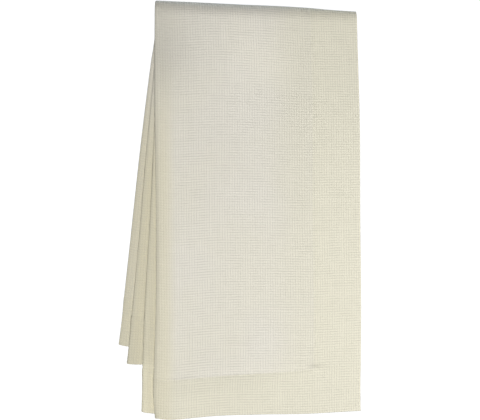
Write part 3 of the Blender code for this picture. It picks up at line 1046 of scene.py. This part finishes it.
def sewing_thread():
    """Ivory sewing thread with a fine uneven surface."""
    n = Nodes("ivory_thread")
    coordinates = n.tree.nodes.new("ShaderNodeTexCoord")
    uneven = n.noise(coordinates.outputs["Object"], THREAD_FINISH["scale"])
    colour = n.mix(n.ramp(uneven, *MIDDLE_OF_NOISE), IVORY, THREAD)
    n.put(n.shader.inputs["Base Color"], colour)
    n.put(n.shader.inputs["Roughness"], n.ramp(uneven, 0.3, 0.7, *THREAD_FINISH["roughness"]))
    n.put(n.shader.inputs["Normal"], n.bump(uneven, THREAD_FINISH["height"]))
    n.shader.inputs["Sheen Weight"].default_value = 0.15
    return n.material


def studio_white():
    """The plain background: it shows as an even white and gives the cloth no light of its own."""
    material = bpy.data.materials.new("studio_white")
    material.use_nodes = True
    shader = material.node_tree.nodes["Principled BSDF"]
    shader.inputs["Base Color"].default_value = (0.9, 0.9, 0.9, 1.0)
    shader.inputs["Roughness"].default_value = 1.0
    shader.inputs["Emission Color"].default_value = (1.0, 1.0, 1.0, 1.0)
    shader.inputs["Emission Strength"].default_value = 1.0
    return material


# ---------------------------------------------------------------- the studio


def add_camera():
    camera = bpy.data.objects.new("camera", bpy.data.cameras.new("camera"))
    camera.data.sensor_width = CAMERA_SENSOR
    camera.data.lens = CAMERA_LENS
    camera.location = CAMERA_PLACE
    camera.rotation_euler = (math.radians(90.0), 0.0, CAMERA_TURN)
    bpy.context.scene.collection.objects.link(camera)
    bpy.context.scene.camera = camera


def add_floor():
    """A plain round studio: a flat pale floor well below the cloth that curves up into its wall."""
    low = CAD_BOX[0].z - FLOOR_BELOW
    profile = [(0.0, low), (STUDIO_RADIUS - STUDIO_CURVE, low)]
    for k in range(1, STUDIO_CURVE_STEPS + 1):
        angle = math.pi / 2 * k / STUDIO_CURVE_STEPS
        out = STUDIO_RADIUS - STUDIO_CURVE + STUDIO_CURVE * math.sin(angle)
        profile.append((out, low + STUDIO_CURVE * (1.0 - math.cos(angle))))
    profile.append((STUDIO_RADIUS, low + STUDIO_HEIGHT))
    shape = bmesh.new()
    points = [shape.verts.new((out, 0.0, up)) for out, up in profile]
    edges = [shape.edges.new(pair) for pair in zip(points, points[1:])]
    bmesh.ops.spin(
        shape,
        geom=points + edges,
        cent=(0.0, 0.0, 0.0),
        axis=(0.0, 0.0, 1.0),
        angle=2.0 * math.pi,
        steps=STUDIO_SIDES,
        use_merge=True,
    )
    mesh = bpy.data.meshes.new("studio_floor")
    shape.to_mesh(mesh)
    shape.free()
    mesh.shade_smooth()
    mesh.materials.append(studio_white())
    floor = bpy.data.objects.new("studio_floor", mesh)
    floor.visible_diffuse = False
    floor.visible_glossy = False
    floor.visible_shadow = False
    bpy.context.scene.collection.objects.link(floor)


def add_area_light(name, place_at, aim_at, size, power, colour):
    lamp = bpy.data.lights.new(name, "AREA")
    lamp.shape = "DISK"
    lamp.size = size
    lamp.energy = power
    lamp.color = colour
    light = bpy.data.objects.new(name, lamp)
    light.location = place_at
    towards = Vector(aim_at) - Vector(place_at)
    light.rotation_euler = towards.to_track_quat("-Z", "Y").to_euler()
    light.visible_camera = False
    bpy.context.scene.collection.objects.link(light)


LIGHTS = {
    # name: (place, aim, size, power, colour)
    "front": ((-0.366, -1.722, -0.604), (0.0, 0.0, -0.23), 0.4, 23.3, (1.0, 1.0, 1.0)),
    "right": ((1.50, -0.55, -0.23), (0.0, 0.0, -0.23), 0.5, 9.5, (1.0, 1.0, 1.0)),
    "near": ((0.60, -0.40, -0.40), (0.06, 0.0, -0.35), 0.3, 1.2, (1.0, 1.0, 1.0)),
    "top": ((0.15, 0.65, 1.20), (0.0, 0.0, 0.0), 0.6, 13.0, (0.80, 0.91, 1.0)),
    "left": ((-1.21, 0.70, -0.23), (0.0, 0.0, -0.23), 1.0, 3.0, (1.0, 1.0, 1.0)),
}
AMBIENT = (0.01, 0.01, 0.01)


def add_lights():
    for name, settings in LIGHTS.items():
        add_area_light(name, *settings)
    world = bpy.data.worlds.new("studio")
    world.use_nodes = True
    world.node_tree.nodes["Background"].inputs["Color"].default_value = (*AMBIENT, 1.0)
    bpy.context.scene.world = world
    bpy.context.scene.view_settings.view_transform = "Standard"


# ---------------------------------------------------------------- the whole


def add_piece(mesh, material):
    mesh.materials.append(material)
    piece = bpy.data.objects.new(mesh.name, mesh)
    bpy.context.scene.collection.objects.link(piece)
    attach(piece, "root")
    return piece


def main():
    cloth = Cloth()
    sheet = add_piece(make_sheet(cloth), linen())
    stitches = add_piece(make_stitches(cloth), sewing_thread())
    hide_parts("tablecloth")
    add_camera()
    add_floor()
    add_lights()


main()
